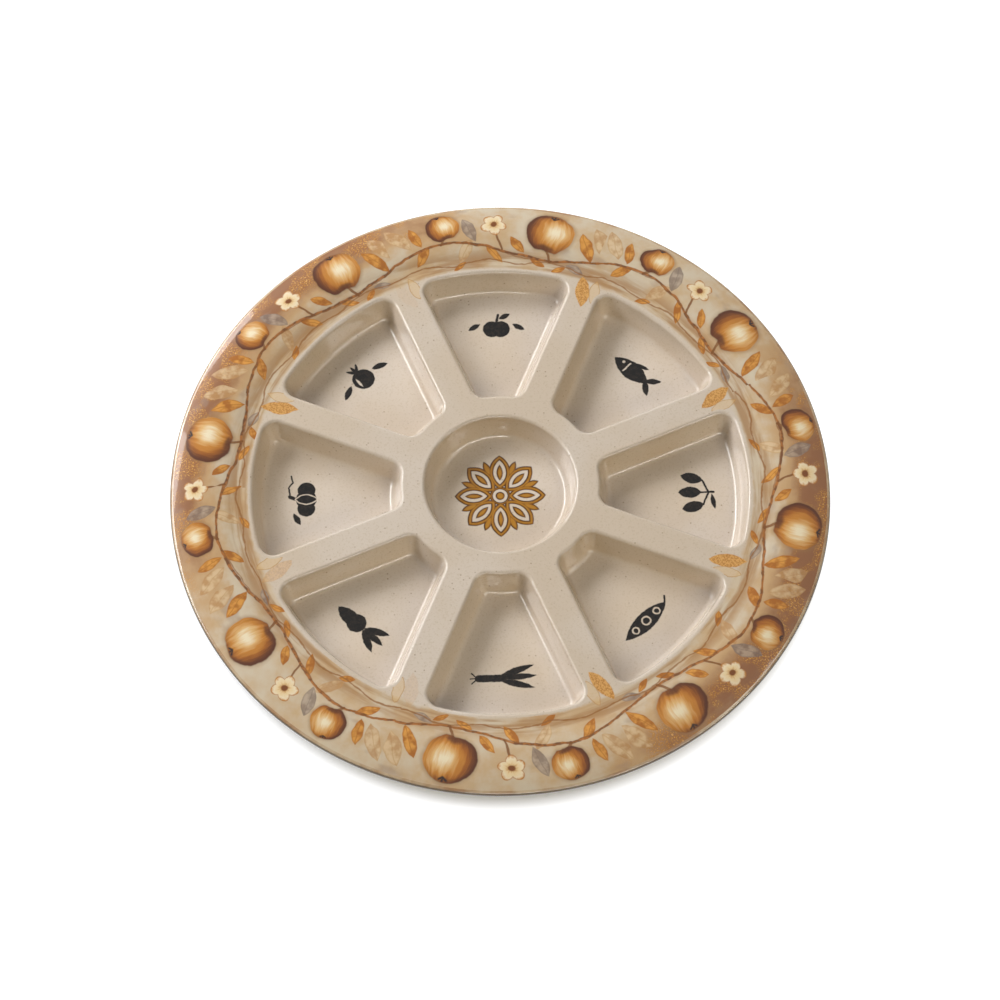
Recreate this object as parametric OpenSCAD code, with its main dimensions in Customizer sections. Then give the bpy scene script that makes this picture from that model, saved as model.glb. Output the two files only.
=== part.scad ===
// Round sectioned serving plate: one drafted moulding with eight sector wells
// round a centre well, printed foils let into its face and into the well floors.
// Millimetres, +Z up, origin on the table under the centre of the plate.

/* [Plate] */
// Diameter over the rim
plate_d = 250; // [236:1:270]
// Wall of the moulding, the same everywhere
wall_t = 2.6; // [2.2:0.1:3]
// Width of the decorated rim
rim_w = 27.9; // [25:0.1:31]
// Height of the rim's crest above the deck
rim_rise = 2; // [1:0.1:2.4]
// Distance from the rim's crest out to its edge
crest_in = 13.9; // [11:0.1:16]
// Fall of the rim from its crest to its edge
edge_drop = 1.8; // [1.2:0.1:2.4]
// Radius of the soft fold where the rim leaves the deck
fold_r = 20; // [12:1:28]

/* [Wells] */
// Number of sector wells
wells = 8; // [6:1:8]
// Depth of every well below the deck
well_depth = 10.8; // [9:0.1:13]
// How far a well's wall leans out from its foot to its top
wall_lean = 3.15; // [2:0.05:3.6]
// Radius of the rolled lip of a well
lip_r = 1.6; // [1:0.1:2]
// Radius of the fillet round a well's floor
floor_r = 2.8; // [2:0.1:3.6]
// Radius left in the corners of a well's floor
corner_r = 0.3; // [0.2:0.1:1]
// Width of the rib between two sector wells
rib_w = 12; // [11:0.2:14]
// Land between the wells' outer ends and the rim
land_w = 3.1; // [2.6:0.1:5]
// Diameter of the centre well at its lip
center_d = 57.6; // [50:0.4:64]
// Band between the centre well and the sector wells
hub_band = 9; // [8:0.2:12]

/* [Underside] */
// Distance from a well floor's outer end in to the middle of the foot ring
foot_in = 8.75; // [5:0.25:14]
// Width of the foot ring where it leaves the floor
foot_w = 3; // [2.4:0.1:4]
// Width of the foot ring's flat face
foot_face_w = 2; // [1.6:0.1:2.3]
// Height of the foot ring
foot_h = 1.2; // [0.8:0.1:2]

/* [Prints] */
// Thickness of the printed foils
foil_t = 0.2; // [0.1:0.05:0.3]
// Distance that the face foil keeps from a well's lip and from the rim's edge
foil_gap = 0.4; // [0.3:0.1:0.8]
// Length of a well's floor print, along the arc
print_len = 26; // [20:0.5:28]
// Width of a well's floor print, across the arc
print_w = 16; // [12:0.5:18]
// Distance from a well floor's outer end in to the print's edge
print_in = 5.25; // [3:0.25:9]
// Diameter of the centre well's floor print
center_print_d = 40; // [30:0.5:42]

/* [Hidden] */
$fa = 4;
$fs = 0.6;

// Overrun of cuts past the faces that they open
over = 1;
// Chords to a fillet or lip, to the shell's round edge, and along each stretch
// of a sector well's outline
fillet_steps = 4;
edge_steps = 3;
outer_corner_steps = 6;
inner_corner_steps = 5;
outer_end_steps = 5;
inner_end_steps = 2;
// Chords to each arc of the rim's section, and to each half of its rounded edge
rim_steps = 4;
rim_edge_steps = 4;
// Share by which a pie's straight sides reach past its arc
reach_share = 1.6;

// Angles: half of a well's pitch, the walls' draft from upright, and half of
// the turn between a wall and the floor
half_pitch = 180 / wells;
draft = atan(wall_lean / well_depth);
half_turn = (90 - draft) / 2;

// Heights: underside of the cups, top of the floors, deck
cup_z = foot_h;
floor_z = cup_z + wall_t;
deck_z = floor_z + well_depth;
deck_mid_z = deck_z - wall_t / 2;

// Distances out from a corner's axis: floor's edge, wall's foot and wall's top
foot_d = corner_r + floor_r * tan(half_turn);
top_d = foot_d + wall_lean;
lip_d = top_d + lip_r * tan(half_turn);
// How far the openings of the face foil reach past the walls' tops
mouth_grow = lip_d - top_d + foil_gap;

// Radii, from the middle out
center_r = center_d / 2;
inner_r = center_r + hub_band;
rim_r = plate_d / 2;
fold_start_r = rim_r - rim_w;
outer_r = fold_start_r - land_w;

// Axes of a sector well's rounded corners: their distance from a rib's middle,
// their radii, and their turns from the middle of the well
side_d = rib_w / 2 + top_d;
outer_axis_r = outer_r - top_d;
inner_axis_r = inner_r + top_d;
outer_turn = half_pitch - asin(side_d / outer_axis_r);
inner_turn = half_pitch - asin(side_d / inner_axis_r);
outer_axis = outer_axis_r * turned(outer_turn);
inner_axis = inner_axis_r * turned(inner_turn);
// Direction from a corner's axis straight to the rib beside it
rib_dir = 90 + half_pitch;
// Radii of a sector well floor's outer end, of the foot ring's middle below it
// and of its print's middle
floor_end_r = outer_axis_r + corner_r;
foot_ring_r = floor_end_r - foot_in;
print_r = floor_end_r - print_in - print_w / 2;

// The rim's section: fold, rising arc and falling arc, tangent to each other
crest_r = rim_r - crest_in;
crest_z = deck_z + rim_rise;
rise_run = crest_r - fold_start_r;
rise_r = (rise_run * rise_run + rim_rise * rim_rise) / (2 * rim_rise) - fold_r;
fold_turn = asin(rise_run / (rise_r + fold_r));
// The falling arc's middle line ends at the centre of the rounded edge
fall_run = crest_in - wall_t / 2;
fall_mid_r = (fall_run * fall_run + edge_drop * edge_drop) / (2 * edge_drop);
fall_r = fall_mid_r + wall_t / 2;
fall_turn = asin(fall_run / fall_mid_r);
edge_center = [crest_r + fall_run, crest_z - wall_t / 2 - edge_drop];
// The face foil stops at this angle of the falling arc
foil_turn = asin((fall_run - foil_gap) / fall_mid_r);

// Half angle of one stretch of the foot ring, clear of the cup's round edge
foot_turn = half_pitch - asin((rib_w / 2 + top_d + wall_t) / foot_ring_r);

// Unit vector of a direction in plan
function turned(angle) = [cos(angle), sin(angle)];

// Points of an arc, in equal steps from one direction to the other
function arc(center, r, from, to, steps) =
    [for (k = [0:steps]) center + r * turned(from + (to - from) * k / steps)];

// Half of a sector well's plan, from the inner end to the outer one: each point
// is an anchor between the corners' axes and the direction that leads outwards
function half_plan() = concat(
    [for (k = [0:inner_end_steps - 1])
        let (turn = inner_turn * k / inner_end_steps)
            [inner_axis_r * turned(turn), -turned(turn)]],
    [for (k = [0:inner_corner_steps])
        [inner_axis, turned(180 + inner_turn
            + (rib_dir - 180 - inner_turn) * k / inner_corner_steps)]],
    [for (k = [0:outer_corner_steps])
        [outer_axis, turned(rib_dir + (outer_turn - rib_dir) * k / outer_corner_steps)]],
    [for (k = [outer_end_steps - 1:-1:0])
        let (turn = outer_turn * k / outer_end_steps)
            [outer_axis_r * turned(turn), turned(turn)]]
);

// The whole plan, its second half the mirror image of the first
function whole_plan() =
    let (half = half_plan(), last = len(half) - 1)
        concat(half, [for (k = [last - 1:-1:1])
            [[half[k][0][0], -half[k][0][1]], [half[k][1][0], -half[k][1][1]]]]);

// Solid that carries a section, points of distance out and height, round the
// plan of a sector well, closed at its lowest and its highest point
module carried(section) {
    plan = whole_plan();
    n = len(plan);
    m = len(section);
    middle = (outer_axis_r + inner_axis_r) / 2;
    rings = [for (s = section, a = plan)
        let (at = a[0] + s[0] * a[1]) [at[0], at[1], s[1]]];
    polyhedron(
        points = concat(rings, [[middle, 0, section[0][1]], [middle, 0, section[m - 1][1]]]),
        faces = concat(
            [for (i = [0:m - 2], k = [0:n - 1])
                [i * n + k, (i + 1) * n + (k + 1) % n, (i + 1) * n + k]],
            [for (i = [0:m - 2], k = [0:n - 1])
                [i * n + k, i * n + (k + 1) % n, (i + 1) * n + (k + 1) % n]],
            [for (k = [0:n - 1]) [m * n, (k + 1) % n, k]],
            [for (k = [0:n - 1]) [m * n + 1, (m - 1) * n + k, (m - 1) * n + (k + 1) % n]]
        )
    );
}

// Slice of a disc between two directions
module pie(center, r, from, to) {
    side = r * reach_share;
    translate(center)
        intersection() {
            circle(r);
            polygon([[0, 0], side * [cos(from), sin(from)], side * [cos(to), sin(to)]]);
        }
}

// Section of the space in a well beside its wall, x out from the corner's axis
module hollow_section(inside = 0) {
    floor_center = [corner_r, floor_z + floor_r];
    lip_center = [lip_d, deck_z - lip_r];
    wall_foot = floor_center + floor_r * [cos(draft), -sin(draft)];
    wall_top = lip_center + lip_r * [-cos(draft), sin(draft)];
    difference() {
        union() {
            polygon([
                [-inside, floor_z], [corner_r, floor_z], wall_foot, wall_top,
                [lip_d, deck_z], [lip_d, deck_z + over], [-inside, deck_z + over]
            ]);
            pie(floor_center, floor_r, -90, -draft);
        }
        pie(lip_center, lip_r, 90, 180 - draft);
    }
}

// Section of the shell's outside round a well, one wall thickness out
module shell_section(inside = 0) {
    polygon(concat([[-inside, cup_z]], shell_points(), [[-inside, deck_mid_z]]));
}

// The same two sections as points, from the floor up
function hollow_points() = concat(
    arc([corner_r, floor_z + floor_r], floor_r, -90, -draft, fillet_steps),
    arc([lip_d, deck_z - lip_r], lip_r, 180 - draft, 90, fillet_steps),
    [[lip_d, deck_z + over]]
);

function shell_points() = concat(
    arc([corner_r, floor_z + floor_r], floor_r + wall_t, -90, -draft, edge_steps),
    [[corner_r + (floor_r + wall_t) / cos(draft)
        + (deck_mid_z - floor_z - floor_r) * tan(draft), deck_mid_z]]
);

module sector_hollow() {
    carried(hollow_points());
}

// The shell round a sector well, with the collar of bare deck round its mouth
module sector_shell() {
    carried(concat(shell_points(), [[top_d + mouth_grow, deck_mid_z],
        [top_d + mouth_grow, deck_z]]));
}

// Space or shell of the centre well
module center_hollow() {
    axis_r = center_r - top_d;
    rotate_extrude() {
        translate([axis_r, 0]) hollow_section(over);
        translate([0, floor_z]) square([axis_r, deck_z + over - floor_z]);
    }
}

module center_shell() {
    axis_r = center_r - top_d;
    rotate_extrude() {
        translate([axis_r, 0]) shell_section(over);
        translate([0, cup_z]) square([axis_r, deck_mid_z - cup_z]);
        translate([0, deck_mid_z]) square([center_r + mouth_grow, wall_t / 2]);
    }
}

// Line at a depth below the top face, from the axis out to an angle of the
// falling arc
function face_line(down, turn) = concat(
    [[0, deck_z - down]],
    arc([fold_start_r, deck_z + fold_r], fold_r + down, -90, fold_turn - 90, rim_steps),
    rest(arc([crest_r, crest_z - rise_r], rise_r - down, 90 + fold_turn, 90, rim_steps)),
    rest(arc([crest_r, crest_z - fall_r], fall_r - down, 90, 90 - turn, rim_steps))
);

// A list of points without its first one, and a list backwards
function rest(points) = [for (k = [1:len(points) - 1]) points[k]];
function backwards(points) = [for (k = [len(points) - 1:-1:0]) points[k]];

// Section of the rim and deck, with the recess for the face foil
module face_section() {
    polygon(concat(
        face_line(foil_t, foil_turn),
        [[crest_r, crest_z - fall_r] + fall_r * turned(90 - foil_turn)],
        arc(edge_center, wall_t / 2, 90 - fall_turn, 0, rim_edge_steps),
        rest(arc(edge_center, wall_t / 2, 0, -90 - fall_turn, rim_edge_steps)),
        rest(backwards(face_line(wall_t, fall_turn)))
    ));
}

// Plan of the openings in the face foil
module mouths() {
    circle(center_r + mouth_grow);
    for (i = [0:wells - 1])
        rotate(i * 360 / wells)
            polygon([for (a = whole_plan()) a[0] + (top_d + mouth_grow) * a[1]]);
}

// Copies children to every sector well
module at_wells() {
    for (i = [0:wells - 1])
        rotate([0, 0, i * 360 / wells]) children();
}

// The printed foil over the rim, the ribs and the hub, open at every well
module face_foil() {
    difference() {
        rotate_extrude()
            polygon(concat(face_line(0, foil_turn), backwards(face_line(foil_t, foil_turn))));
        translate([0, 0, deck_z - foil_t - over])
            linear_extrude(foil_t + 2 * over)
                mouths();
    }
}

// A well's floor foil, lying along +X
module well_foil() {
    run = print_len - print_w;
    translate([print_r, 0, floor_z - foil_t])
        linear_extrude(foil_t) {
            for (end = [-1, 1])
                translate([0, end * run / 2]) circle(d = print_w);
            translate([-print_w / 2, -run / 2]) square([print_w, run]);
        }
}

module center_foil() {
    translate([0, 0, floor_z - foil_t])
        cylinder(h = foil_t, d = center_print_d);
}

// One stretch of the foot ring under a sector well
module foot_arc() {
    rotate_extrude(angle = 2 * foot_turn, start = -foot_turn)
        translate([foot_ring_r, 0])
            polygon([
                [-foot_face_w / 2, 0], [foot_face_w / 2, 0],
                [foot_w / 2, foot_h], [foot_w / 2, foot_h + wall_t / 2],
                [-foot_w / 2, foot_h + wall_t / 2], [-foot_w / 2, foot_h]
            ]);
}

module plate_body() {
    color([0.82, 0.77, 0.69])
        difference() {
            union() {
                rotate_extrude() face_section();
                center_shell();
                at_wells() {
                    sector_shell();
                    foot_arc();
                }
            }
            center_hollow();
            center_foil();
            at_wells() sector_hollow();
            at_wells() well_foil();
        }
}

module face_print() {
    color([0.78, 0.62, 0.42]) face_foil();
}

module center_print() {
    color([0.75, 0.55, 0.2]) center_foil();
}

module well_print(i) {
    color([0.2, 0.18, 0.16])
        rotate([0, 0, (i - 1) * 360 / wells]) well_foil();
}

plate_body();
face_print();
center_print();
well_print(1);  // well_print_1
well_print(2);  // well_print_2
well_print(3);  // well_print_3
well_print(4);  // well_print_4
well_print(5);  // well_print_5
well_print(6);  // well_print_6
well_print(7);  // well_print_7
well_print(8);  // well_print_8
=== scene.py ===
"""Round divided serving plate in glossy speckled melamine, with a printed rim.

The moulding is one smooth surface worked out from the same sizes as the solids:
a section is carried round the plan of each sector well, and round the axis for
the rim and the centre well. Sizes are millimetres here and metres in the meshes.
"""
import math

import bmesh
import bpy
import numpy as np
from mathutils import Matrix, Vector


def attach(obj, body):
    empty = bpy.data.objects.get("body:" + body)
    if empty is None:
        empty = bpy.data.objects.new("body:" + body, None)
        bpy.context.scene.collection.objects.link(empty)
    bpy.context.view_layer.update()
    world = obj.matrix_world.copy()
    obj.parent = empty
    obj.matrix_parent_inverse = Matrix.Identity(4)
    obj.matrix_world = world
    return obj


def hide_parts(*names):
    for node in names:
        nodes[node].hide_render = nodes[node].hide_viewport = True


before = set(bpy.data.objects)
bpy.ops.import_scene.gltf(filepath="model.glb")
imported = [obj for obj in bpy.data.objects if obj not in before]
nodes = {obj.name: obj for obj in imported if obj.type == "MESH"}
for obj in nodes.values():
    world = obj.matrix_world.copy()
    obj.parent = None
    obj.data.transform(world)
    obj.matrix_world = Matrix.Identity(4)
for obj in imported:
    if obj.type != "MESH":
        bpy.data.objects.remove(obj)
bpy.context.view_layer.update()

# A millimetre in the meshes' metres
MM = 0.001

# Sizes of the plate, as the solids have them
PLATE_D = 250.0
WALL_T = 2.6
RIM_W = 27.9
RIM_RISE = 2.0
CREST_IN = 13.9
EDGE_DROP = 1.8
FOLD_R = 20.0
WELLS = 8
WELL_DEPTH = 10.8
WALL_LEAN = 3.15
LIP_R = 1.6
FLOOR_R = 2.8
CORNER_R = 0.3
RIB_W = 12.0
LAND_W = 3.1
CENTER_D = 57.6
HUB_BAND = 9.0
FOOT_IN = 8.75
FOOT_W = 3.0
FOOT_FACE_W = 2.0
FOOT_H = 1.2
FOIL_T = 0.2
FOIL_GAP = 0.4
PRINT_LEN = 26.0
PRINT_W = 16.0
PRINT_IN = 5.25
CENTER_PRINT_D = 40.0

# Sizes of the meshes alone: the bare strip of deck outside a lip, how far the
# foot ring reaches up into the cups, and in metres which points are one point
# and which edges have no length
LIP_STRIP = 0.15
FOOT_SINK = 0.3
ONE_POINT = 2e-6
NO_LENGTH = 1e-7

# Edges that turn by more than this are shaded sharp
SHARP_TURN = math.radians(32)

# Angles and places that follow from them
PITCH = 2 * math.pi / WELLS
HALF = PITCH / 2
DRAFT = math.atan(WALL_LEAN / WELL_DEPTH)
HALF_TURN = (math.pi / 2 - DRAFT) / 2
CUP_Z = FOOT_H
FLOOR_Z = CUP_Z + WALL_T
DECK_Z = FLOOR_Z + WELL_DEPTH
UNDER_Z = DECK_Z - WALL_T
TOP_D = CORNER_R + FLOOR_R * math.tan(HALF_TURN) + WALL_LEAN
LIP_D = TOP_D + LIP_R * math.tan(HALF_TURN)
MOUTH_D = LIP_D + FOIL_GAP
CENTER_R = CENTER_D / 2
INNER_R = CENTER_R + HUB_BAND
RIM_R = PLATE_D / 2
FOLD_START_R = RIM_R - RIM_W
OUTER_R = FOLD_START_R - LAND_W
SIDE_D = RIB_W / 2 + TOP_D
OUTER_AXIS_R = OUTER_R - TOP_D
INNER_AXIS_R = INNER_R + TOP_D
FLOOR_END_R = OUTER_AXIS_R + CORNER_R
FOOT_RING_R = FLOOR_END_R - FOOT_IN
PRINT_R = FLOOR_END_R - PRINT_IN - PRINT_W / 2
OUTER_TURN = HALF - math.asin(SIDE_D / OUTER_AXIS_R)
INNER_TURN = HALF - math.asin(SIDE_D / INNER_AXIS_R)
RIB_DIR = math.pi / 2 + HALF
HUB_R = CENTER_R + HUB_BAND / 2
CREST_R = RIM_R - CREST_IN
CREST_Z = DECK_Z + RIM_RISE
RISE_RUN = CREST_R - FOLD_START_R
RISE_R = (RISE_RUN ** 2 + RIM_RISE ** 2) / (2 * RIM_RISE) - FOLD_R
FOLD_TURN = math.asin(RISE_RUN / (RISE_R + FOLD_R))
FALL_RUN = CREST_IN - WALL_T / 2
FALL_MID_R = (FALL_RUN ** 2 + EDGE_DROP ** 2) / (2 * EDGE_DROP)
FALL_R = FALL_MID_R + WALL_T / 2
FALL_TURN = math.asin(FALL_RUN / FALL_MID_R)
EDGE_CENTER = np.array([CREST_R + FALL_RUN, CREST_Z - WALL_T / 2 - EDGE_DROP])
FOIL_TURN = math.asin((FALL_RUN - FOIL_GAP) / FALL_MID_R)
FOOT_TURN = HALF - math.asin((RIB_W / 2 + TOP_D + WALL_T) / FOOT_RING_R)

# Camera: the photograph's viewing angle, worked out from the rim's ellipse
VIEW_ELEVATION = math.radians(62.7)
VIEW_AZIMUTH = math.radians(-1.2)
VIEW_DISTANCE = 947.0
LENS_MM = 90.0
SENSOR_MM = 36.0
SHIFT_X = -0.0002
SHIFT_Y = -0.0171

# Lamps: name, angle round the plate and angle above the floor in degrees, width
# and height in metres, watts, tint, whether it falls on matt surfaces and whether
# gloss mirrors it
LAMPS = (
    ("left", 155, 32, 1.0, 0.5, 14.2, (0.99, 1.0, 1.02), True, False),
    ("back", 120, 32, 0.9, 0.5, 14.4, (0.98, 1.0, 1.03), True, False),
    ("panel", 158, 39, 0.92, 0.34, 11.5, (1.0, 1.0, 1.0), False, True),
    ("low panel", 131, 31, 0.56, 0.26, 5.4, (1.0, 1.0, 1.0), False, True),
    ("right", -10, 54, 0.45, 0.3, 1.9, (1.0, 0.97, 0.92), True, True),
    ("front", 300, 35, 1.2, 0.5, 6.4, (1.0, 0.85, 0.54), True, False),
    ("strip", 298, 36, 2.0, 0.18, 17.0, (1.0, 0.97, 0.93), False, True),
)
LAMP_AWAY = 1.5

# Floor: half its side in metres, the brightness of its glow, and the radii between
# which the glow takes over from the shadow
FLOOR_HALF = 4.0
FLOOR_GLOW = 1.4
SHADOW_R = 118.5
CLEAR_R = 129.5


def make_camera():
    """Looks at the middle of the deck from the photograph's direction."""
    data = bpy.data.cameras.new("camera")
    data.sensor_fit = "HORIZONTAL"
    data.sensor_width = SENSOR_MM
    data.lens = LENS_MM
    data.shift_x = SHIFT_X
    data.shift_y = SHIFT_Y
    data.clip_start = 0.01
    data.clip_end = 20.0
    cam = bpy.data.objects.new("camera", data)
    bpy.context.scene.collection.objects.link(cam)
    back = Vector((math.sin(VIEW_AZIMUTH) * math.cos(VIEW_ELEVATION),
                   -math.cos(VIEW_AZIMUTH) * math.cos(VIEW_ELEVATION),
                   math.sin(VIEW_ELEVATION)))
    right = Vector((math.cos(VIEW_AZIMUTH), math.sin(VIEW_AZIMUTH), 0.0))
    up = back.cross(right)
    turn = Matrix((right, up, back)).transposed().to_4x4()
    place = Vector((0, 0, DECK_Z * MM)) + back * (VIEW_DISTANCE * MM)
    cam.matrix_world = Matrix.Translation(place) @ turn
    bpy.context.scene.camera = cam


# Plans and sections

def turned(angle):
    """Unit vectors of the given directions in plan, as rows."""
    angle = np.asarray(angle, float)
    return np.stack([np.cos(angle), np.sin(angle)], -1)


def arc(center, radius, start, end, steps):
    """Points at equal steps along an arc: center plus radius times a unit vector."""
    return np.asarray(center) + radius * turned(np.linspace(start, end, steps + 1))


def half_plan(ends, corners, sides):
    """Half of a sector well's plan, from its inner middle to its outer middle.

    Each row is an anchor on the line through the corners' axes and the outward
    direction there. The corners' fans are split where they meet the cell's own
    corners, so that neighbouring cells share their points. Ends, corners and sides
    are numbers of steps.
    """
    inner_axis = INNER_AXIS_R * turned(INNER_TURN)
    outer_axis = OUTER_AXIS_R * turned(OUTER_TURN)

    def towards(point, axis):
        gap = point - axis
        return math.atan2(gap[1], gap[0])

    inner_split = towards(HUB_R * turned(HALF), inner_axis)
    outer_split = towards(FOLD_START_R * turned(HALF), outer_axis)
    n = corners // 2
    inner_end = np.linspace(0, INNER_TURN, ends // 2 + 1)[:-1]
    inner_fan = np.concatenate([
        np.linspace(math.pi + INNER_TURN, inner_split, n + 1)[:-1],
        np.linspace(inner_split, RIB_DIR, n + 1)])
    outer_fan = np.concatenate([
        np.linspace(RIB_DIR, outer_split, n + 1)[:-1],
        np.linspace(outer_split, OUTER_TURN, n + 1)])
    outer_end = np.linspace(OUTER_TURN, 0, ends + 1)[1:]
    along = np.linspace(0, 1, sides + 2)[1:-1, None]
    anchors = np.concatenate([
        INNER_AXIS_R * turned(inner_end),
        np.repeat(inner_axis[None], len(inner_fan), 0),
        inner_axis + along * (outer_axis - inner_axis),
        np.repeat(outer_axis[None], len(outer_fan), 0),
        OUTER_AXIS_R * turned(outer_end)])
    outward = np.concatenate([
        -turned(inner_end), turned(inner_fan),
        np.repeat(turned(RIB_DIR)[None], sides, 0),
        turned(outer_fan), turned(outer_end)])
    return anchors, outward


def whole_plan(ends=16, corners=16, sides=14):
    """The closed plan: the half plan and its mirror image in the X axis."""
    anchors, outward = half_plan(ends, corners, sides)
    flip = np.array([1.0, -1.0])
    return (np.concatenate([anchors, anchors[-2:0:-1] * flip]),
            np.concatenate([outward, outward[-2:0:-1] * flip]))


def cell_border(anchors, outward):
    """Where each outward ray leaves the well's cell.

    The cell is bounded by the hub's middle circle, the rim's fold and the middle
    lines of the two ribs. A ray ends at the nearest of them ahead of it.
    """
    reach = np.full(len(anchors), np.inf)
    for side in (1, -1):
        normal = np.array([-math.sin(HALF), side * math.cos(HALF)])
        speed = outward @ normal
        run = -(anchors @ normal) / np.where(speed > 1e-9, speed, np.nan)
        reach = np.fmin(reach, np.where(run > 0, run, np.nan))
    b = np.sum(anchors * outward, 1)
    for radius, sign in ((FOLD_START_R, 1), (HUB_R, -1)):
        c = np.sum(anchors * anchors, 1) - radius ** 2
        root = b * b - c
        run = -b + sign * np.sqrt(np.where(root >= 0, root, np.nan))
        reach = np.fmin(reach, np.where(run > 0, run, np.nan))
    return anchors + reach[:, None] * outward


def capsule(directions, half_length, radius):
    """Outline of a well's print seen from its middle.

    A ray meets the straight side at radius over its x share, or else the round
    end about the point half_length up.
    """
    x, y = np.abs(directions[:, 0]), np.abs(directions[:, 1])
    straight = radius / np.maximum(x, 1e-9)
    round_end = half_length * y + np.sqrt(np.maximum(radius ** 2 - (half_length * x) ** 2, 0))
    run = np.where(straight * y <= half_length, straight, round_end)
    return run[:, None] * directions


def well_section(foot_steps=9, lip_steps=9):
    """Distance out and height from the lip down the wall to the floor's edge."""
    lip = arc([LIP_D, DECK_Z - LIP_R], LIP_R, math.pi / 2, math.pi - DRAFT, lip_steps)
    foot = arc([CORNER_R, FLOOR_Z + FLOOR_R], FLOOR_R, -DRAFT, -math.pi / 2, foot_steps)
    wall = np.linspace(lip[-1], foot[0], 4)[1:-1]
    return np.concatenate([[[LIP_D + LIP_STRIP, DECK_Z]], lip, wall, foot])


def shell_section(steps=6):
    """Distance out and height of the shell's outside, from the deck down."""
    edge_r = FLOOR_R + WALL_T
    top = CORNER_R + edge_r / math.cos(DRAFT) \
        + (UNDER_Z - FLOOR_Z - FLOOR_R) * math.tan(DRAFT)
    edge = arc([CORNER_R, FLOOR_Z + FLOOR_R], edge_r, -DRAFT, -math.pi / 2, steps)
    return np.concatenate([[[top, UNDER_Z]], edge])


def face_line(down, turn, steps=(5, 7, 8)):
    """Rim's line at a depth below the top face: fold, rise and fall in turn."""
    fold = arc([FOLD_START_R, DECK_Z + FOLD_R], FOLD_R + down,
               -math.pi / 2, FOLD_TURN - math.pi / 2, steps[0])
    rise = arc([CREST_R, CREST_Z - RISE_R], RISE_R - down,
               math.pi / 2 + FOLD_TURN, math.pi / 2, steps[1])
    fall = arc([CREST_R, CREST_Z - FALL_R], FALL_R - down,
               math.pi / 2, math.pi / 2 - turn, steps[2])
    return np.concatenate([fold, rise[1:], fall[1:]])


# Meshes

def level(plan, z):
    """Lifts points of the plan to a height."""
    return np.column_stack([plan, np.full(len(plan), float(z))])


def grid_faces(rows, columns, closed):
    """Quads of a grid of points, row after row; closed joins the last column."""
    k = np.arange(columns if closed else columns - 1)
    i = np.arange(rows - 1)[:, None] * columns
    a = i + k
    b = i + (k + 1) % columns
    return np.stack([a, b, b + columns, a + columns], -1).reshape(-1, 4)


class Surface:
    """Collects grids of points and turns them into one closed mesh."""

    def __init__(self):
        self.points = []
        self.faces = []
        self.count = 0

    def grid(self, rows, closed=True):
        """Adds a grid, each row an array of points."""
        block = np.concatenate(rows)
        quads = grid_faces(len(rows), len(rows[0]), closed)
        self.points.append(block)
        self.faces += (quads + self.count).tolist()
        self.count += len(block)

    def fan(self, row, middle):
        """Closes a ring with triangles to a middle point."""
        n = len(row)
        self.points.append(np.concatenate([row, [middle]]))
        k = np.arange(n)
        tris = np.stack([k, (k + 1) % n, np.full(n, n)], -1)
        self.faces += (tris + self.count).tolist()
        self.count += n + 1

    def piece(self, name):
        """Makes the object: metres, doubles merged, normals outwards, smooth."""
        mesh = bpy.data.meshes.new(name)
        mesh.from_pydata((np.concatenate(self.points) * MM).tolist(), [], self.faces)
        work = bmesh.new()
        work.from_mesh(mesh)
        bmesh.ops.remove_doubles(work, verts=work.verts, dist=ONE_POINT)
        bmesh.ops.dissolve_degenerate(work, edges=work.edges, dist=NO_LENGTH)
        bmesh.ops.recalc_face_normals(work, faces=work.faces)
        work.to_mesh(mesh)
        work.free()
        mesh.polygons.foreach_set("use_smooth", np.ones(len(mesh.polygons), bool))
        mesh.set_sharp_from_angle(angle=SHARP_TURN)
        obj = bpy.data.objects.new(name, mesh)
        bpy.context.scene.collection.objects.link(obj)
        return obj


def about_axis(rows, index):
    """Turns rows of points by whole wells about the plate's axis."""
    t = index * PITCH
    turn = np.array([[math.cos(t), -math.sin(t), 0], [math.sin(t), math.cos(t), 0], [0, 0, 1]])
    return [row @ turn.T for row in rows]


def circle_angles(border, radius):
    """Angles all round at which the cells' borders lie on a circle."""
    on = np.abs(np.hypot(border[:, 0], border[:, 1]) - radius) < 1e-6
    angles = np.arctan2(border[on, 1], border[on, 0])
    everywhere = (angles[None] + np.arange(WELLS)[:, None] * PITCH).ravel()
    return np.unique(np.round(np.mod(everywhere + 1e-7, 2 * math.pi), 7))


def revolved(profile, angles):
    """Rows of points of a profile of radius and height turned to the angles."""
    ring = turned(angles)
    return [level(r * ring, z) for r, z in profile]


def add_cells(made, anchors, outward, border):
    """The sector wells with their share of the deck, and the shell beneath them.

    Above: the cell's border, the bare collar round the mouth, the section of lip,
    wall and fillet, the floor, and the recess for the print.
    """
    low = DECK_Z - FOIL_T
    floor = anchors + CORNER_R * outward
    middle = np.array([PRINT_R, 0.0])
    gap = floor - middle
    print_line = middle + capsule(gap / np.linalg.norm(gap, axis=1)[:, None],
                                  (PRINT_LEN - PRINT_W) / 2, PRINT_W / 2)
    mouth = anchors + MOUTH_D * outward
    top = [level(border, low), level(mouth, low), level(mouth, DECK_Z)]
    top += [level(anchors + d * outward, z) for d, z in well_section()]
    top += [level(floor * 0.5 + print_line * 0.5, FLOOR_Z), level(print_line, FLOOR_Z),
            level(print_line, FLOOR_Z - FOIL_T)]
    under = [level(border, UNDER_Z)]
    under += [level(anchors + d * outward, z) for d, z in shell_section()]
    for i in range(WELLS):
        for half, z in ((top, FLOOR_Z - FOIL_T), (under, CUP_Z)):
            rows = about_axis(half, i)
            made.grid(rows)
            made.fan(rows[-1], about_axis([np.array([[PRINT_R, 0, z]])], i)[0][0])


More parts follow.
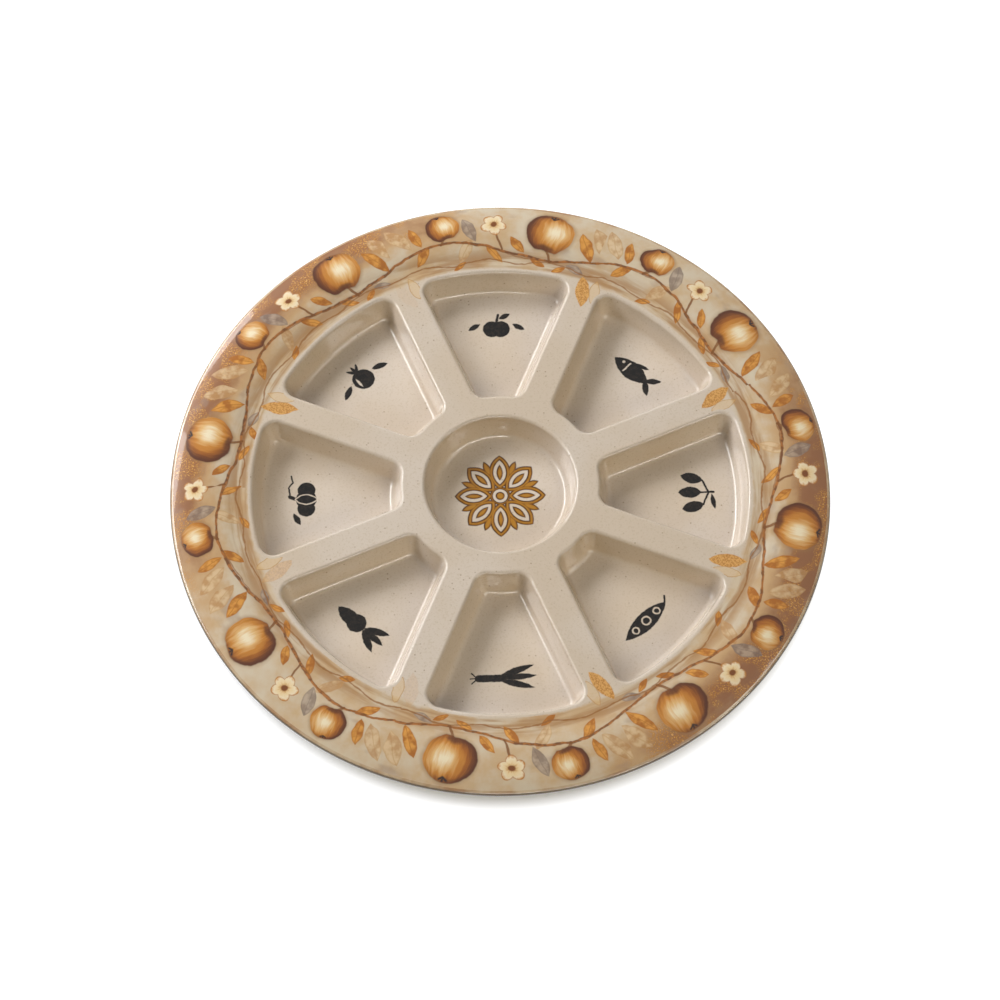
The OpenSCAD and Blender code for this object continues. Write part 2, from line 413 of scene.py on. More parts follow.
def add_rim(made, border, edge_steps=14):
    """The rim, from the recess for its foil over the edge and back beneath."""
    rim = np.concatenate([
        face_line(FOIL_T, FOIL_TURN),
        [np.array([CREST_R, CREST_Z - FALL_R]) + FALL_R * turned(math.pi / 2 - FOIL_TURN)],
        arc(EDGE_CENTER, WALL_T / 2, math.pi / 2 - FALL_TURN, -math.pi / 2 - FALL_TURN,
            edge_steps),
        face_line(WALL_T, FALL_TURN, (3, 4, 4))[-2::-1]])
    made.grid(revolved(rim, circle_angles(border, FOLD_START_R)))


def add_hub(made, border):
    """The ring round the centre well and the well itself, above and beneath."""
    low = DECK_Z - FOIL_T
    axis_r = CENTER_R - TOP_D
    print_r = CENTER_PRINT_D / 2
    top = np.concatenate([
        [[HUB_R, low], [axis_r + MOUTH_D, low], [axis_r + MOUTH_D, DECK_Z]],
        well_section() + [axis_r, 0],
        [[print_r, FLOOR_Z], [print_r, FLOOR_Z - FOIL_T], [print_r / 2, FLOOR_Z - FOIL_T]]])
    under = np.concatenate([[[HUB_R, UNDER_Z]], shell_section() + [axis_r, 0],
                            [[axis_r / 2, CUP_Z]]])
    angles = circle_angles(border, HUB_R)
    for profile, z in ((top, FLOOR_Z - FOIL_T), (under, CUP_Z)):
        rows = revolved(profile, angles)
        made.grid(rows)
        made.fan(rows[-1], [0, 0, z])


def add_foot(made, steps=32):
    """The foot ring's arcs, one below each cup."""
    half, face, root = FOOT_W / 2, FOOT_FACE_W / 2, CUP_Z + FOOT_SINK
    foot = np.array([[-half, root], [-half, CUP_Z], [-face, 0], [face, 0],
                     [half, CUP_Z], [half, root], [-half, root]]) + [FOOT_RING_R, 0]
    for i in range(WELLS):
        turns = i * PITCH + np.linspace(-FOOT_TURN, FOOT_TURN, steps + 1)
        rows = [np.column_stack([foot[:, 0] * math.cos(t), foot[:, 0] * math.sin(t), foot[:, 1]])
                for t in turns]
        made.grid(rows, closed=False)
        for row in (rows[0], rows[-1]):
            made.fan(row[:-1], row[:-1].mean(0))


def moulding():
    """The whole plate body: the face above, one wall thickness beneath, and the foot."""
    made = Surface()
    anchors, outward = whole_plan()
    border = cell_border(anchors, outward)
    add_cells(made, anchors, outward, border)
    add_rim(made, border)
    add_hub(made, border)
    add_foot(made)
    return made.piece("plate_moulding")


def face_foil():
    """The printed foil: the deck's and rim's face with a thin underside.

    Every part runs over the top, down at its open edge and back beneath, so that
    the foil is closed at the mouths and along the rim's edge.
    """
    made = Surface()
    anchors, outward = whole_plan()
    border = cell_border(anchors, outward)
    low = DECK_Z - FOIL_T
    mouth = anchors + MOUTH_D * outward
    for i in range(WELLS):
        made.grid(about_axis([level(border, DECK_Z), level(mouth, DECK_Z), level(mouth, low),
                              level(border, low)], i))
    upper = face_line(0, FOIL_TURN)
    lower = face_line(FOIL_T, FOIL_TURN)[::-1]
    made.grid(revolved(np.concatenate([upper, lower]), circle_angles(border, FOLD_START_R)))
    collar = CENTER_R - TOP_D + MOUTH_D
    made.grid(revolved([[HUB_R, DECK_Z], [collar, DECK_Z], [collar, low], [HUB_R, low]],
                       circle_angles(border, HUB_R)))
    return made.piece("face_foil")


# Shading

def colour(code):
    """Linear RGBA of a web colour."""
    parts = [int(code[k:k + 2], 16) / 255 for k in (1, 3, 5)]
    return [c / 12.92 if c <= 0.04045 else ((c + 0.055) / 1.055) ** 2.4 for c in parts] + [1.0]


class Number:
    """A number on a shader socket; arithmetic on it adds Math nodes."""

    def __init__(self, finish, socket):
        self.finish = finish
        self.socket = socket

    def maths(self, kind, *others, clamp=False):
        """Math node of a kind, fed by this number and the others."""
        node = self.finish.tree.nodes.new("ShaderNodeMath")
        node.operation = kind
        node.use_clamp = clamp
        for slot, value in zip(node.inputs, (self,) + others):
            self.finish.feed(slot, value)
        return Number(self.finish, node.outputs[0])

    def __add__(self, other):
        return self.maths("ADD", other)

    def __sub__(self, other):
        return self.maths("SUBTRACT", other)

    def __mul__(self, other):
        return self.maths("MULTIPLY", other)

    def __truediv__(self, other):
        return self.maths("DIVIDE", other)

    def __rsub__(self, other):
        return (self * -1.0) + other

    def __neg__(self):
        return self * -1.0

    def least(self, other):
        return self.maths("MINIMUM", other)

    def most(self, other):
        return self.maths("MAXIMUM", other)

    def size(self):
        return self.maths("ABSOLUTE")

    def sine(self):
        return self.maths("SINE")

    def cosine(self):
        return self.maths("COSINE")

    def floor(self):
        return self.maths("FLOOR")

    def clamped(self):
        return self.maths("ADD", 0.0, clamp=True)

    def soft(self, low, high):
        """0 at low and 1 at high, with a smooth step between; low may be the larger."""
        made = self.finish.node("ShaderNodeMapRange", {"interpolation_type": "SMOOTHSTEP"},
                                {"Value": self, "From Min": min(low, high),
                                 "From Max": max(low, high)})
        step = Number(self.finish, made.outputs[0])
        return step if low < high else 1.0 - step


class Finish:
    """A material under construction: its nodes, its coordinates and its shader."""

    def __init__(self, name):
        self.material = bpy.data.materials.new(name)
        self.material.use_nodes = True
        self.tree = self.material.node_tree
        self.tree.nodes.clear()
        place = self.node("ShaderNodeTexCoord").outputs["Object"]
        self.place = self.node("ShaderNodeVectorMath", {"operation": "SCALE"},
                               {0: place, "Scale": 1 / MM}).outputs[0]
        split = self.node("ShaderNodeSeparateXYZ", {}, {0: self.place})
        self.x, self.y, self.z = (Number(self, split.outputs[k]) for k in range(3))

    def feed(self, slot, value):
        """Links a socket or a number on one, or else sets a plain value."""
        if isinstance(value, Number):
            value = value.socket
        if isinstance(value, bpy.types.NodeSocket):
            self.tree.links.new(value, slot)
        else:
            slot.default_value = value

    def node(self, kind, settings=None, sockets=None):
        """Any node: its settings first, and then the values or links of its sockets."""
        made = self.tree.nodes.new(kind)
        for name, value in (settings or {}).items():
            setattr(made, name, value)
        for name, value in (sockets or {}).items():
            self.feed(made.inputs[name], value)
        return made

    def vector(self, kind, one, other, scale=None):
        """Vector Math; distances and dot products come back as numbers."""
        sockets = {0: one, 1: other}
        if scale is not None:
            sockets = {0: one, "Scale": scale}
        made = self.node("ShaderNodeVectorMath", {"operation": kind}, sockets)
        if kind in ("DISTANCE", "DOT_PRODUCT"):
            return Number(self, made.outputs["Value"])
        return made.outputs["Vector"]

    def point(self, x, y):
        """Point of a plane from its two coordinates."""
        return self.node("ShaderNodeCombineXYZ", {}, {0: x, 1: y}).outputs[0]

    def radius(self):
        """Distance from the plate's axis."""
        return self.vector("DISTANCE", self.point(self.x, self.y), (0, 0, 0))

    def mix(self, share, one, other):
        """Colour that goes from one to other as share goes from 0 to 1."""
        made = self.node("ShaderNodeMix", {"data_type": "RGBA"}, {0: share, 6: one, 7: other})
        return made.outputs[2]

    def ramp(self, amount, *stops):
        """Colour through several stops, each a place from 0 to 1 and a colour."""
        made = self.node("ShaderNodeValToRGB", {}, {0: amount})
        points = made.color_ramp.elements
        while len(points) < len(stops):
            points.new(0.5)
        for slot, (place, code) in zip(points, stops):
            slot.position = place
            slot.color = colour(code)
        return made.outputs[0]

    def noise(self, size, detail=2.0, rough=0.55, at=None):
        """Noise about 0.5 with features of a size in millimetres."""
        made = self.node("ShaderNodeTexNoise", {},
                         {"Vector": self.place if at is None else at, "Scale": 1.0 / size,
                          "Detail": detail, "Roughness": rough})
        return Number(self, made.outputs["Fac"])

    def wobble(self, at, size, amount):
        """Moves points about by noise, for edges drawn by hand."""
        made = self.node("ShaderNodeTexNoise", {},
                         {"Vector": self.place, "Scale": 1.0 / size, "Detail": 2.0})
        shift = self.vector("SUBTRACT", made.outputs["Color"], (0.5, 0.5, 0.5))
        flat = self.vector("MULTIPLY", shift, (amount, amount, 0.0))
        return self.vector("ADD", at, flat)

    def cells(self, size):
        """Distance to the nearest of scattered points a size apart."""
        made = self.node("ShaderNodeTexVoronoi", {},
                         {"Vector": self.place, "Scale": 1.0 / size})
        return Number(self, made.outputs["Distance"])

    def close(self, base, gloss=0.24, coat=0.8, bump=None, bump_size=0.00002):
        """Ends the material as glossy moulded plastic under a clear top coat.

        Bump is a height from 0 to 1, and its size is in metres.
        """
        sockets = {"Base Color": base, "Roughness": gloss, "IOR": 1.5, "Coat Weight": coat,
                   "Coat Roughness": 0.035, "Coat IOR": 1.5, "Specular IOR Level": 0.2}
        if bump is not None:
            sockets["Normal"] = self.node(
                "ShaderNodeBump", {},
                {"Height": bump, "Strength": 1.0, "Distance": bump_size}).outputs[0]
        shader = self.node("ShaderNodeBsdfPrincipled", {}, sockets)
        self.node("ShaderNodeOutputMaterial", {}, {"Surface": shader.outputs[0]})
        return self.material


# Drawing: each shape gives the distance of a point from its outline, in
# millimetres, less than zero inside. Radii and heights in the finishes are
# millimetres too.

def disc(s, p, x, y, r):
    """Round spot about a middle."""
    return s.vector("DISTANCE", p, (x, y, 0)) - r


def stroke(s, p, x0, y0, x1, y1, w):
    """Brush stroke with round ends: distance to a stretch of line, less half a width."""
    dx, dy = x1 - x0, y1 - y0
    run = dx * dx + dy * dy
    gap = s.vector("SUBTRACT", p, (x0, y0, 0))
    along = s.vector("DOT_PRODUCT", gap, (dx / run, dy / run, 0)).clamped()
    near = s.vector("SCALE", (dx, dy, 0), None, along)
    return s.vector("DISTANCE", gap, near) - w


def blade(s, p, x0, y0, x1, y1, w, vein=False):
    """Leaf between two tips: the part that two equal circles have in common.

    The circles' radius is (h * h + w * w) / 2w for half length h and half width
    w. The difference of the two distances is nought along the leaf's middle.
    """
    dx, dy = x1 - x0, y1 - y0
    h = math.hypot(dx, dy) / 2
    radius = (h * h + w * w) / (2 * w)
    mx, my = (x0 + x1) / 2, (y0 + y1) / 2
    nx, ny = -dy / (2 * h) * (radius - w), dx / (2 * h) * (radius - w)
    one = s.vector("DISTANCE", p, (mx + nx, my + ny, 0))
    two = s.vector("DISTANCE", p, (mx - nx, my - ny, 0))
    shape = one.most(two) - radius
    if not vein:
        return shape
    return shape, (one - two).size()


def joined(parts):
    """The union of shapes."""
    whole = parts[0]
    for part in parts[1:]:
        whole = whole.least(part)
    return whole


def cut(whole, hole):
    """A shape less another."""
    return whole.most(-hole)


def melamine(s):
    """Pale beige with soft clouds, fine brown specks and a few dark ones."""
    cloud = s.noise(40.0, 2.0)
    base = s.mix(cloud.soft(0.35, 0.65), colour("#d7cabc"), colour("#d1c1ae"))
    grain = s.noise(0.8, 1.0)
    base = s.mix(grain.soft(0.50, 0.75) * 0.30, base, colour("#b8a483"))
    fleck = s.cells(2.6).soft(0.17, 0.07) * s.noise(5.0, 1.0).soft(0.47, 0.60)
    base = s.mix(fleck * 0.6, base, colour("#94795a"))
    tiny = s.cells(1.25).soft(0.15, 0.05) * s.noise(3.1, 1.0).soft(0.50, 0.62)
    return s.mix(tiny * 0.5, base, colour("#86705a"))


def body_finish():
    """Glossy speckled melamine, with the wash carried over the rim's outer edge.

    Round the edge come the wash, a dark brown band of painted shade on the round's
    lower side, and the bare body, by height from the middle of the edge's round.
    """
    s = Finish("speckled_melamine")
    base = melamine(s)
    outside = s.radius().soft(RIM_R - 2.4, RIM_R - 2.0)
    height = s.z - EDGE_CENTER[1]
    tan = s.mix(s.noise(17.0, 4.0, 0.6).soft(0.36, 0.66), colour("#cdb898"), colour("#a97f55"))
    # Painted shade: below the wash the edge's round is dark brown, where its lower side turns away
    # from the light
    printed = s.mix(height.soft(0.75, 1.1), colour("#5f4c32"), tan)
    base = s.mix(outside * height.soft(-1.4, -1.0), base, printed)
    return s.close(base, bump=s.noise(7.0, 1.0))


def fruit(s, base, p, x, y, r, lean):
    """Golden apple: cream in the middle, amber round it and dark at the edge.

    The shade follows the distance from a light spot off the middle, broken by
    brush streaks along meridians, which close in towards the top and the bottom.
    The stem's end is dented and points to the vine.
    """
    c, k = math.cos(lean), math.sin(lean)
    gap = s.vector("SUBTRACT", p, (x, y, 0))
    across = s.vector("DOT_PRODUCT", gap, (c / r, k / r, 0))
    up = s.vector("DOT_PRODUCT", gap, (-k / r, c / r, 0))
    q = s.point(across, up)
    dent = (0.42 - across.size()).most(0.0) * (-up).soft(0.45, 1.0) * 0.42
    outline = s.vector("DISTANCE", q, (0, 0, 0)) + dent
    streak = s.noise(0.15, 2.0, at=s.point(across * (up * up * 0.6 + 1.0), up * 0.14 + x * 0.3))
    spot = s.vector("DISTANCE", q, (-0.16, 0.10, 0))
    shade = spot * 0.80 + (streak - 0.5) * 0.50 + (across * 0.12)
    skin = s.ramp(shade, (0.08, "#f3e4c4"), (0.30, "#e0b679"), (0.50, "#c68434"),
                  (0.70, "#a3601b"), (0.90, "#6f3a0e"))
    base = s.mix(outline.soft(1.20, 0.98) * 0.45, base, colour("#9c7448"))
    base = s.mix(outline.soft(1.02, 0.96), base, skin)
    ring = outline.soft(0.80, 0.97) * outline.soft(1.05, 0.98) * (across * 0.6 + 0.60).clamped()
    base = s.mix(ring, base, colour("#55290a"))
    hollow = blade(s, q, -0.30, -0.74, 0.30, -0.74, 0.10)
    base = s.mix(hollow.soft(0.12, -0.06) * 0.8, base, colour("#552a0a"))
    calyx = joined([stroke(s, q, 0, 0.80, 0, 0.93, 0.03), stroke(s, q, 0, 0.80, -0.13, 0.90, 0.03),
                    stroke(s, q, 0, 0.80, 0.13, 0.90, 0.03)])
    return s.mix(calyx.soft(0.035, -0.02), base, colour("#2b1a10"))


def blossom(s, base, p, x, y, r, turn):
    """Five round petals about an amber heart, from the angle round the middle."""
    gap = s.vector("SUBTRACT", p, (x, y, 0))
    parts = s.node("ShaderNodeSeparateXYZ", {}, {0: gap})
    angle = Number(s, parts.outputs[1]).maths("ARCTAN2", Number(s, parts.outputs[0]))
    away = s.vector("DISTANCE", gap, (0, 0, 0))
    lobes = ((angle + turn) * 2.5).cosine().size()
    edge = away - (lobes * 0.34 + 0.66) * r
    vein = s.noise(0.9, 1.0, at=s.point(angle * 3.2, away * 0.4))
    petal = s.ramp(away / r + (vein - 0.5) * 0.5, (0.15, "#c98f45"), (0.45, "#ecd3a4"),
                   (0.78, "#f0dfc0"), (0.98, "#cf9a55"))
    base = s.mix(edge.soft(0.25, -0.15), base, petal)
    rim = edge.soft(-0.55, -0.05) * edge.soft(0.3, 0.0)
    base = s.mix(rim * 0.7, base, colour("#a8672a"))
    heart = away.soft(r * 0.30, r * 0.18)
    return s.mix(heart, base, colour("#7a4415"))


def leaf(s, base, p, places, dark, light, strength=1.0):
    """Several leaves of one colour, pale to dark by noise, with edge and midrib."""
    blot = s.noise(3.4, 2.0).soft(0.36, 0.64)
    paint = s.mix(blot, colour(light), colour(dark))
    shapes = [blade(s, p, *place, vein=True) for place in places]
    whole = joined([shape for shape, _ in shapes])
    base = s.mix(whole.soft(0.22, -0.18) * strength, base, paint)
    edge = whole.soft(-0.60, -0.05) * whole.soft(0.24, 0.0)
    base = s.mix(edge * (0.55 * strength), base, colour(dark))
    ribs = [middle.soft(0.55, 0.12) * shape.soft(-0.1, -0.5) for shape, middle in shapes]
    rib = ribs[0]
    for other in ribs[1:]:
        rib = rib.most(other)
    return s.mix(rib * (0.6 * strength), base, colour(dark))


# The scroll repeats once for each sector well. Its plane has millimetres along
# the rim, measured at this radius, and outwards from it. A leaf is its two tips
# and half its width.
SCROLL_R = 108.0
CELL = PITCH * SCROLL_R
VINE_OUT = -3.4
VINE_SWING = 3.9
TWIG_OUT = -8.9
TWIG_SWING = 0.8
PALE_LEAVES = ((-44, 0, -37, 12, 3.0), (10, 1, 16, -8.5, 2.2), (34, 1, 41, 13, 2.8))
GREY_LEAVES = ((8.5, 0, 12.5, 11, 2.4), (-30, -8, -38, -9.5, 1.5))
GOLD_LEAVES = ((-39, -4, -32.5, 7.5, 2.3), (-11, -5, -5.5, 1.5, 1.7), (27, 0.5, 34, -6.5, 1.9),
               (4, -2, -2, -9.5, 1.6), (30, 1, 32.5, 10.5, 1.9), (-14, -7.5, -21, -10.6, 1.3),
               (-30, -9, -24.5, -12, 1.2), (13, -8.6, 19, -11.6, 1.2))


def rim_wash(s, angle, radius, grain):
    """Mottled wash of the rim, dark on two sides, with bark, mauve and gilt in it."""

    def side(degrees, low, high):
        """Share that rises towards one side of the plate."""
        return (angle - math.radians(degrees)).cosine().soft(low, high)

    cloud = s.noise(17.0, 4.0, 0.6)
    brush = s.noise(6.0, 3.0, 0.6, at=s.point(angle * 26.0, radius * 0.9))
    pale = s.mix(cloud.soft(0.34, 0.64), colour("#d4c6af"), colour("#ccb18c"))
    dark = side(150, 0.40, 0.96).most(side(-22, 0.48, 0.97))
    tone = dark * radius.soft(102.0, 119.0) * 0.92 + (cloud - 0.5) * 0.9
    tone = tone + (brush - 0.5) * 0.45 + 0.10
    wash = s.mix(tone.soft(0.05, 0.50), pale, colour("#c4a074"))
    wash = s.mix(tone.soft(0.42, 0.98), wash, colour("#946440"))
    bark = s.noise(5.0, 3.0, 0.6, at=s.point(angle * 14.0, radius * 1.3))
    bark = bark.soft(0.36, 0.58) * radius.soft(95.2, 97.0) * radius.soft(106.0, 100.0)
    wash = s.mix(bark * 0.75, wash, colour("#a2743f"))
    mauve = s.noise(11.0, 3.0, at=s.point(angle * 60.0, radius)).soft(0.58, 0.70)
    wash = s.mix(mauve * radius.soft(99.0, 108.0) * 0.5, wash, colour("#a08878"))
    gilt = dark.soft(0.2, 0.7) * s.noise(13.0, 2.0).soft(0.44, 0.54) * radius.soft(110.0, 118.0)
    wash = s.mix(gilt * grain.soft(0.42, 0.56) * 0.8, wash, colour("#b97c31"))
    return s.mix(gilt * grain.soft(0.58, 0.68) * 0.85, wash, colour("#e6bb6e"))


def scroll(s, base, angle, radius):
    """The rim's pattern: leaves behind, then the vine, then blossoms and fruit."""
    along = angle / PITCH + 0.5
    cell = along.floor()
    u = along - cell - 0.5
    plain = s.point(u * CELL, radius - SCROLL_R)
    chance = s.node("ShaderNodeTexWhiteNoise", {"noise_dimensions": "1D"}, {"W": cell})
    shift = s.vector("SUBTRACT", chance.outputs["Color"], (0.5, 0.5, 0.5))
    free = s.vector("MULTIPLY", shift, (2.2, 1.4, 0.0))
    drawn = s.wobble(s.vector("ADD", plain, free), 7.0, 2.2)
    base = leaf(s, base, drawn, PALE_LEAVES, "#b98c58", "#dcc097", 0.75)
    base = leaf(s, base, drawn, GREY_LEAVES, "#7f6c60", "#b3a08e", 0.8)
    base = leaf(s, base, drawn, GOLD_LEAVES, "#a8651c", "#d99a44")
    swing = (u * (2 * math.pi)).sine() * VINE_SWING + VINE_OUT
    thread = s.noise(9.0, 2.0, at=s.point(angle * 40.0, 3.0)) - 0.5
    drawn_out = s.vector("DOT_PRODUCT", drawn, (0, 1, 0))
    off = drawn_out - swing
    strand = (off + thread * 1.6).size() - (s.noise(2.5, 1.0) * 0.5 + 0.25)
    second = (off - thread * 2.6 + 0.3).size() - (s.noise(1.7, 1.0) * 0.35)
    base = s.mix(strand.soft(0.22, -0.18) * 0.95, base,
                 s.mix(s.noise(2.2, 1.0).soft(0.4, 0.6), colour("#a9682b"), colour("#6e3f17")))
    base = s.mix(second.soft(0.18, -0.14) * 0.75, base, colour("#8a5522"))
    twig = (u * (6 * math.pi) + 0.8).sine() * TWIG_SWING + TWIG_OUT
    third = (drawn_out - twig - thread).size() - (s.noise(2.1, 1.0) * 0.5 + 0.05)
    base = s.mix(third.soft(0.2, -0.16) * 0.8, base, colour("#8f5c28"))
    stalks = joined([stroke(s, drawn, -22.6, -7.6, -20.4, -3.0, 0.5),
                     stroke(s, drawn, 22.4, 0.2, 20.2, 3.0, 0.45),
                     stroke(s, drawn, -2, -3.5, 0.5, 3.0, 0.4)])
    base = s.mix(stalks.soft(0.2, -0.15) * 0.9, base, colour("#7a4818"))
    base = blossom(s, base, drawn, 0.8, 7.2, 5.0, 0.35)
    base = fruit(s, base, drawn, -20.6, 4.7, 9.2, 0.12)
    return fruit(s, base, drawn, 20.4, 7.9, 6.4, -0.2)


def rib_leaves(s, base, angle, radius, grain):
    """Two leaves at the outer end of each rib, the broad one bold on some ribs only."""
    turn = (angle / PITCH).floor()
    bend = (angle / PITCH - turn - 0.5) * PITCH
    rib = s.wobble(s.point(radius * bend.sine(), radius * bend.cosine()), 4.0, 1.6)
    pick = s.node("ShaderNodeTexWhiteNoise", {"noise_dimensions": "1D"}, {"W": turn + 31.0})
    rare = Number(s, pick.outputs["Value"])
    broad = blade(s, rib, 2.6, 97.5, -1.4, 84.0, 2.7)
    fleck = s.mix(grain.soft(0.40, 0.62), colour("#dba658"), colour("#b87a2d"))
    base = s.mix(broad.soft(0.25, -0.2) * (rare.soft(0.15, 0.4) * 0.85 + 0.1), base, fleck)
    faint = blade(s, rib, -3.4, 97.5, -4.2, 87.0, 1.9)
    base = s.mix(faint.soft(0.3, -0.25) * 0.45, base, colour("#dcb981"))
    return s.mix((faint.size() - 0.12).soft(0.14, -0.05) * 0.6, base, colour("#b9874a"))


def foil_finish():
    """Printed face: melamine on hub and ribs, a warm wash and a scroll on the rim."""
    s = Finish("printed_face")
    radius = s.radius()
    angle = s.y.maths("ARCTAN2", s.x)
    grain = s.noise(0.55, 2.0)
    ragged = radius + (s.noise(5.0, 3.0) - 0.5) * 4.0
    base = s.mix(ragged.soft(94.4, 96.4), melamine(s), rim_wash(s, angle, radius, grain))
    base = scroll(s, base, angle, radius)
    base = rib_leaves(s, base, angle, radius, grain)
    return s.close(base, gloss=0.27, coat=0.5, bump=s.noise(7.0, 1.0))


# The eight small pictures, in millimetres across and up, one for each sector well

def dates(s, p):
    """Three dates on a forked stem."""
    return joined([stroke(s, p, 0, 5.4, 0, 3.6, 0.42), stroke(s, p, 0, 3.8, -4.6, 1.8, 0.34),
                   stroke(s, p, 0, 3.8, 4.6, 1.8, 0.34), stroke(s, p, 0, 3.8, 0, 0.8, 0.34),
                   blade(s, p, -4.4, 2.0, -6.4, -5.4, 2.0), blade(s, p, 0, 1.4, 0, -6.4, 2.1),
                   blade(s, p, 4.4, 2.0, 6.4, -5.4, 2.0), blade(s, p, 0.6, 4.8, 6.4, 5.6, 0.8)])


def fish(s, p):
    """Fish with an eye and a gill."""
    whole = joined([blade(s, p, -8.6, 0, 6.4, 0, 3.3), blade(s, p, 4.8, -0.4, 9.6, 3.8, 1.1),
                    blade(s, p, 4.8, 0.4, 9.6, -3.8, 1.1), blade(s, p, -2.2, 2.6, 3.4, 4.4, 0.8)])
    return cut(cut(whole, disc(s, p, -5.2, 0.8, 0.55)), stroke(s, p, -3.0, 1.9, -3.0, -1.9, 0.26))


def apple(s, p):
    """Apple with a leaf on its stem between two twigs."""
    return joined([disc(s, p, -1.5, -1.2, 3.2), disc(s, p, 1.5, -1.2, 3.2),
                   stroke(s, p, 0, 1.4, 0.7, 4.6, 0.42), blade(s, p, 0.9, 2.9, 4.8, 4.9, 0.9),
                   blade(s, p, -9.8, -1.6, -5.6, 0.8, 0.95),
                   blade(s, p, 9.8, -1.6, 5.6, 0.8, 0.95)])


def crowned(s, p):
    """Round fruit with a three-pointed calyx between two leaves."""
    whole = joined([disc(s, p, 0, -1.1, 3.9), blade(s, p, 0, 2.0, -2.3, 5.2, 0.6),
                    blade(s, p, 0, 2.0, 0, 5.6, 0.6), blade(s, p, 0, 2.0, 2.3, 5.2, 0.6),
                    blade(s, p, -10.2, -2.6, -4.9, -0.2, 1.1),
                    blade(s, p, 10.2, -2.6, 4.9, -0.2, 1.1)])
    return cut(whole, blade(s, p, -2.2, -3.2, -1.9, 0.8, 0.42))


def gourd(s, p):
    """Ribbed gourd with a curling tendril."""
    whole = joined([disc(s, p, -3.4, -1.2, 3.0), disc(s, p, 0, -1.2, 3.5),
                    disc(s, p, 3.4, -1.2, 3.0),
                    stroke(s, p, 0, 2.0, 1.0, 4.4, 0.6), stroke(s, p, 1.0, 4.2, 4.4, 4.8, 0.28),
                    stroke(s, p, 4.4, 4.8, 6.4, 3.4, 0.28), stroke(s, p, 6.4, 3.4, 8.8, 4.0, 0.28),
                    blade(s, p, -9.6, 0.6, -5.2, 3.0, 1.0)])
    return cut(whole, blade(s, p, 0, -4.9, 0, 2.5, 1.8).size() - 0.2)


def beet(s, p):
    """Beet on its side with three leaves."""
    return joined([blade(s, p, -10.2, 0, 1.6, 0, 2.5), disc(s, p, -1.6, 0, 3.3),
                   blade(s, p, 1.4, 0.2, 9.4, 4.4, 1.25), blade(s, p, 1.6, 0, 10.4, 0.2, 1.15),
                   blade(s, p, 1.4, -0.2, 9.4, -4.0, 1.25)])


def leek(s, p):
    """Leek with roots and fanned leaves."""
    return joined([stroke(s, p, -8.4, 0, -0.4, 0, 1.25), blade(s, p, -1.8, 0.6, 9.6, 4.6, 1.15),
                   blade(s, p, -1.6, 0, 10.6, 0.9, 1.1), blade(s, p, -1.8, -0.6, 9.8, -3.4, 1.15),
                   stroke(s, p, -9, 0.3, -10.6, 1.8, 0.22), stroke(s, p, -9, 0, -11.0, 0, 0.22),
                   stroke(s, p, -9, -0.3, -10.6, -1.8, 0.22)])


def bean(s, p):
    """Open pod with three beans."""
    pod = joined([blade(s, p, -10, 0, 9.6, 0, 3.0), stroke(s, p, 9.0, 0, 10.8, 1.8, 0.34)])
    for x, r in ((-5.0, 1.35), (0.0, 1.65), (5.0, 1.35)):
        pod = cut(pod, disc(s, p, x, 0, r)).least(disc(s, p, x, 0, r - 0.5))
    return pod


PICTURES = (dates, fish, apple, crowned, gourd, beet, leek, bean)
PICTURE_SCALE = 0.88


def picture_finish(index):
    """Floor print: a small picture in black ink.

    Its top is towards the hub in the three wells in front, and towards the rim in
    the others.
    """
    s = Finish("floor_print_%d" % (index + 1))
    a = index * PITCH
    up = -1.0 if index > 4 else 1.0
    right = s.vector("DOT_PRODUCT", s.place, (math.sin(a) * up, -math.cos(a) * up, 0))
    rise = s.vector("DOT_PRODUCT", s.place, (math.cos(a) * up, math.sin(a) * up, 0)) - PRINT_R * up
    drawn = s.wobble(s.point(right * PICTURE_SCALE, rise * PICTURE_SCALE), 1.6, 0.5)
    shape = PICTURES[index](s, drawn)
    base = melamine(s)
    ink = s.mix(s.noise(1.4, 1.0).soft(0.35, 0.7), colour("#0f0c0a"), colour("#231d18"))
    mark = shape.soft(0.17, -0.15)
    return s.close(s.mix(mark, base, ink), coat=mark * -0.6 + 0.8)


def rosette_finish():
    """Centre print: eight sunk gilt petals about a ring, folded by symmetry.

    The gilt is painted darker towards each petal's edge: painted shade of the sunk bevel.
    """
    s = Finish("center_rosette")
    away = s.radius()
    angle = s.y.maths("ARCTAN2", s.x)
    turn = (angle / PITCH + 0.5).floor()
    bend = (angle - turn * PITCH).size()
    p = s.wobble(s.point(away * bend.cosine(), away * bend.sine()), 3.0, 0.25)
    c, k = math.cos(HALF), math.sin(HALF)
    shape = joined([blade(s, p, 3.9, 0, 16.4, 0, 3.3).size() - 0.85,
                    blade(s, p, 6.6, 0, 13.4, 0, 1.15),
                    blade(s, p, 9.0 * c, 9.0 * k, 16.0 * c, 16.0 * k, 1.35),
                    (away - 3.4).size() - 0.55, away - 1.7])
    base = melamine(s)
    depth = -shape + (s.noise(2.2, 2.0) - 0.5) * 0.35
    # Painted shade: the gilt is darkest at the petals' edges and paler towards their middles, as a
    # sunk bevel is shaded
    gold_with_painted_shade = s.ramp(depth, (0.0, "#3c2106"), (0.20, "#683f08"), (0.48, "#8b590b"),
                  (0.80, "#b07a1f"))
    base = s.mix(shape.soft(0.34, 0.0) * 0.35, base, colour("#8d7350"))
    mark = shape.soft(0.10, -0.08)
    return s.close(s.mix(mark, base, gold_with_painted_shade), coat=mark * -0.5 + 0.8,
                   bump=shape.soft(-0.5, 0.05), bump_size=0.0004)


